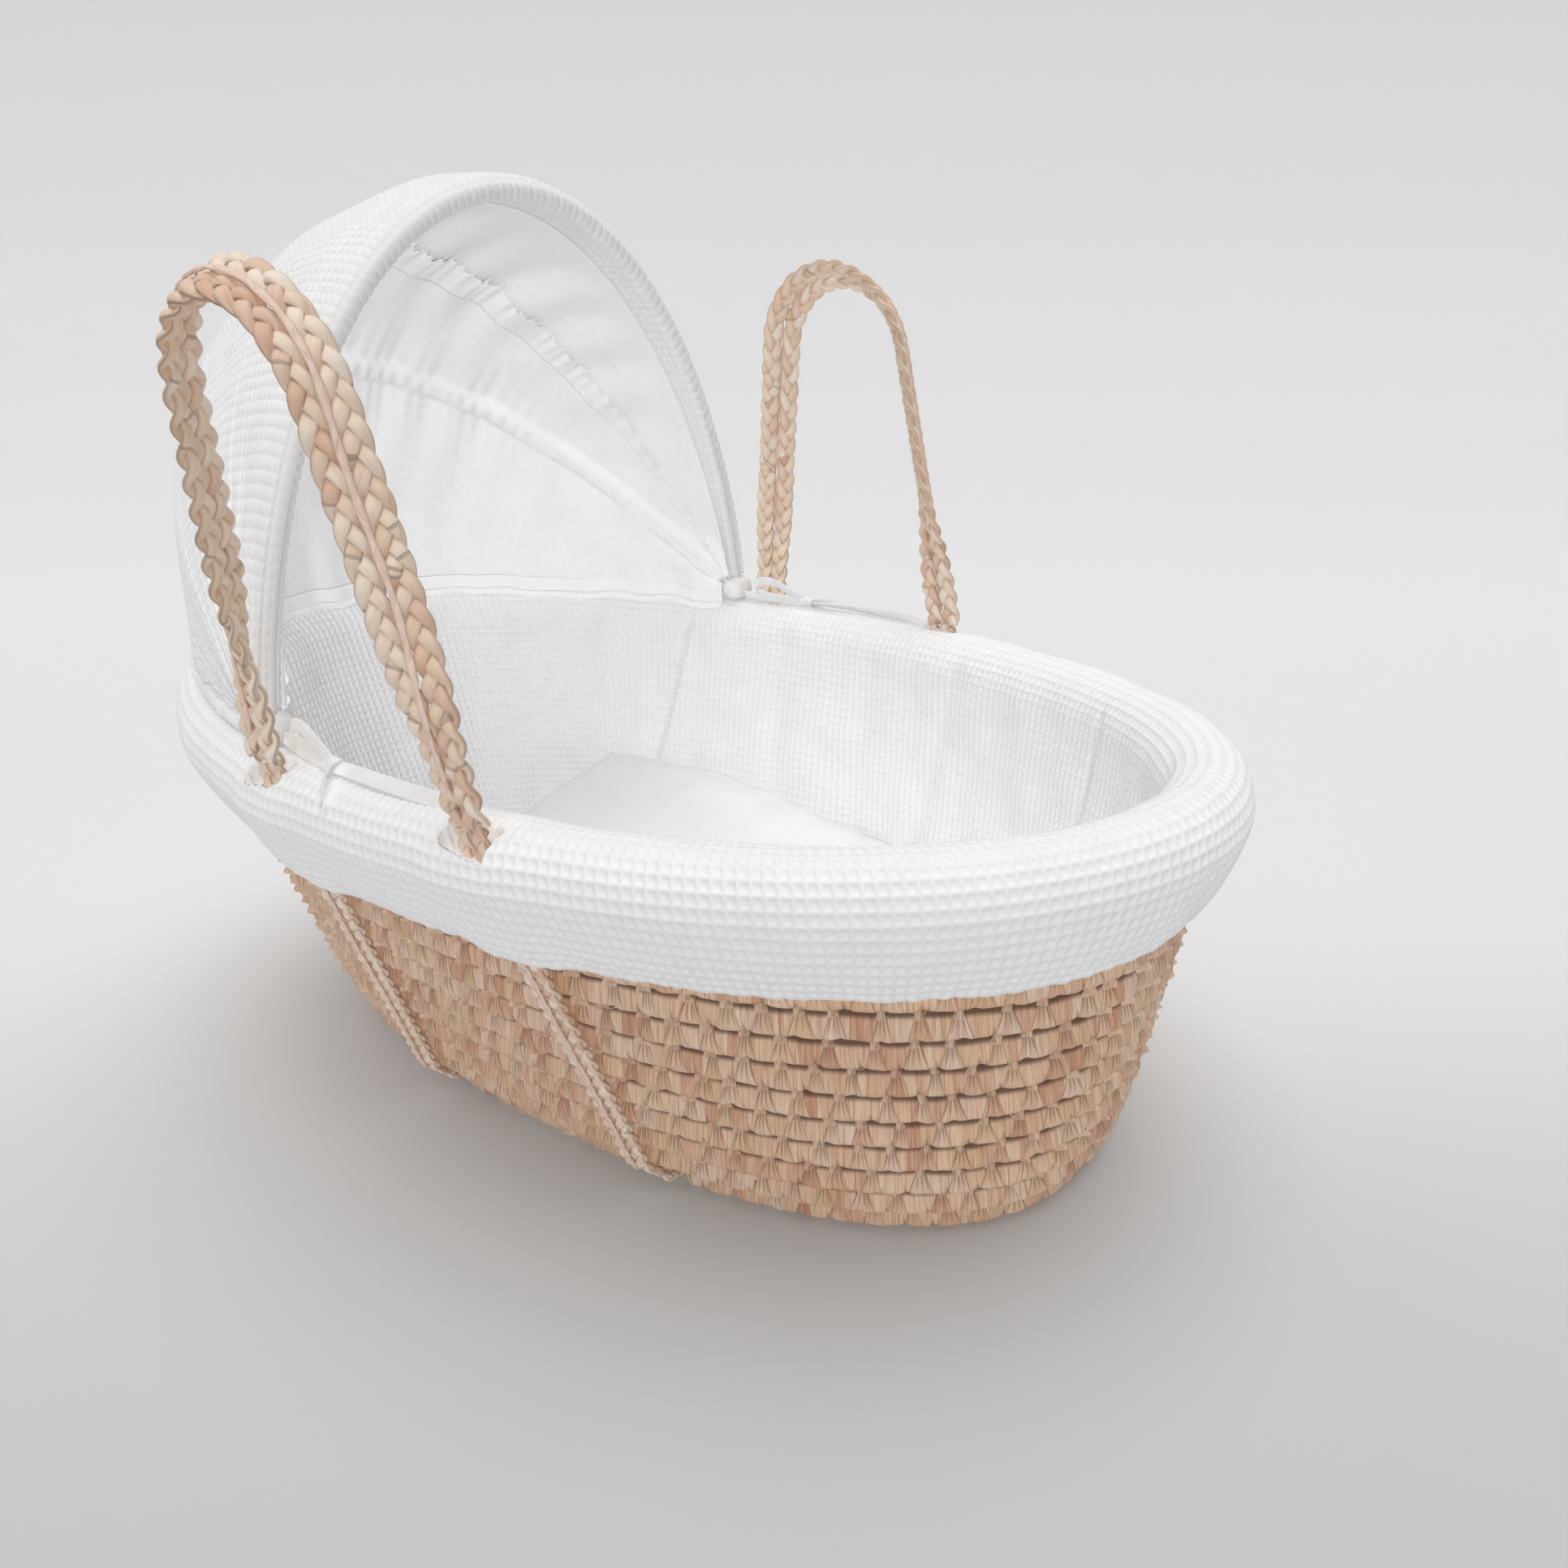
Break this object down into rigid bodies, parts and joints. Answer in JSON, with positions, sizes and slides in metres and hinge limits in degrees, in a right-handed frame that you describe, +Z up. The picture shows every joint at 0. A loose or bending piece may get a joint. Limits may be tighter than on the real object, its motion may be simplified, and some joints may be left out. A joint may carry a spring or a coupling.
{
  "type": "moses basket cradle",
  "caption": "Oval coiled husk basket cradle with plaited carrying handles, padded waffle-cloth liner, mattress, coverlet and a hood that folds back.",
  "frame": {"origin": "middle of the basket's flat base, on the floor", "axes": "+X to the foot end, -X to the head end and hood, +Y to the far side, +Z up"},
  "size_m": [0.8, 0.46, 0.5578],
  "materials": {
    "husk": "dry corn-husk coils, matt with a faint natural sheen",
    "husk_plait": "three-strand plaited husk, matt",
    "husk_strand": "flat pale husk strand",
    "waffle_cloth": "white cotton waffle weave over soft padding",
    "plain_cloth": "plain white cotton",
    "sheet_cloth": "smooth cotton sheet",
    "foam": "soft foam",
    "gauze": "thin crinkled cotton gauze",
    "hoop_plastic": "matt white hoop"
  },
  "bodies": {
    "basket": {"base_coil": "husk", "wall_coil": "husk", "rim_coil": "husk", "strap_near_foot": "husk_plait", "strap_near_head": "husk_plait", "strap_far_foot": "husk_plait", "strap_far_head": "husk_plait", "strap_base_foot": "husk_plait", "strap_base_head": "husk_plait", "strap_seams": "husk_strand", "liner_floor": "plain_cloth", "liner_wall": "waffle_cloth", "liner_skirt": "waffle_cloth", "hem_elastic": "plain_cloth", "rim_padding": "waffle_cloth", "hood_rear_panel": "waffle_cloth", "hood_hem": "plain_cloth", "hood_tab_near": "plain_cloth", "hood_tab_far": "plain_cloth", "tie_near": "plain_cloth", "tie_far": "plain_cloth"},
    "handle_near_root": {"handle_near_root": "husk_plait"},
    "handle_near": {"handle_near_loop": "husk_plait", "handle_near_seam": "husk_strand"},
    "handle_far_root": {"handle_far_root": "husk_plait"},
    "handle_far": {"handle_far_loop": "husk_plait", "handle_far_seam": "husk_strand"},
    "hood_front": {"hood_front_panel": "waffle_cloth", "hood_front_hoop": "hoop_plastic"},
    "hood_middle": {"hood_middle_panel": "waffle_cloth", "hood_middle_hoop": "hoop_plastic", "hood_lining": "gauze", "hood_frill": "gauze"},
    "mattress": {"mattress_core": "foam", "mattress_sheet": "sheet_cloth"},
    "coverlet": {"coverlet": "waffle_cloth", "coverlet_fold": "waffle_cloth"}
  },
  "joints": [
    {"name": "handle_near_swing", "type": "hinge", "parent": "basket", "child": "handle_near_root", "pos_m": [0, -0.21172, 0.273], "axis": [-1, 0, 0], "range_deg": [-95, 32]},
    {"name": "handle_near_bend", "type": "hinge", "parent": "handle_near_root", "child": "handle_near", "pos_m": [0, -0.21172, 0.30259], "axis": [-1, 0, 0], "range_deg": [-71.25, 24]},
    {"name": "handle_far_swing", "type": "hinge", "parent": "basket", "child": "handle_far_root", "pos_m": [0, 0.21172, 0.273], "axis": [1, 0, 0], "range_deg": [-95, 32]},
    {"name": "handle_far_bend", "type": "hinge", "parent": "handle_far_root", "child": "handle_far", "pos_m": [0, 0.21172, 0.30259], "axis": [1, 0, 0], "range_deg": [-71.25, 24]},
    {"name": "hood_fold", "type": "hinge", "parent": "basket", "child": "hood_front", "pos_m": [-0.104, 0, 0.279], "axis": [0, -1, 0], "range_deg": [0, 62]},
    {"name": "hood_middle_fold", "type": "hinge", "parent": "basket", "child": "hood_middle", "pos_m": [-0.104, 0, 0.279], "axis": [0, -1, 0], "range_deg": [0, 31]},
    {"name": "mattress_lift", "type": "slide", "parent": "basket", "child": "mattress", "axis": [0, 0, 1], "range_m": [0, 0.08]},
    {"name": "coverlet_lift", "type": "slide", "parent": "mattress", "child": "coverlet", "axis": [0, 0, 1], "range_m": [0, 0.05]}
  ],
  "couplings": [
    {"joint": "handle_near_bend", "follows": "handle_near_swing", "ratio": 0.75},
    {"joint": "handle_far_bend", "follows": "handle_far_swing", "ratio": 0.75},
    {"joint": "hood_middle_fold", "follows": "hood_fold", "ratio": 0.5}
  ]
}
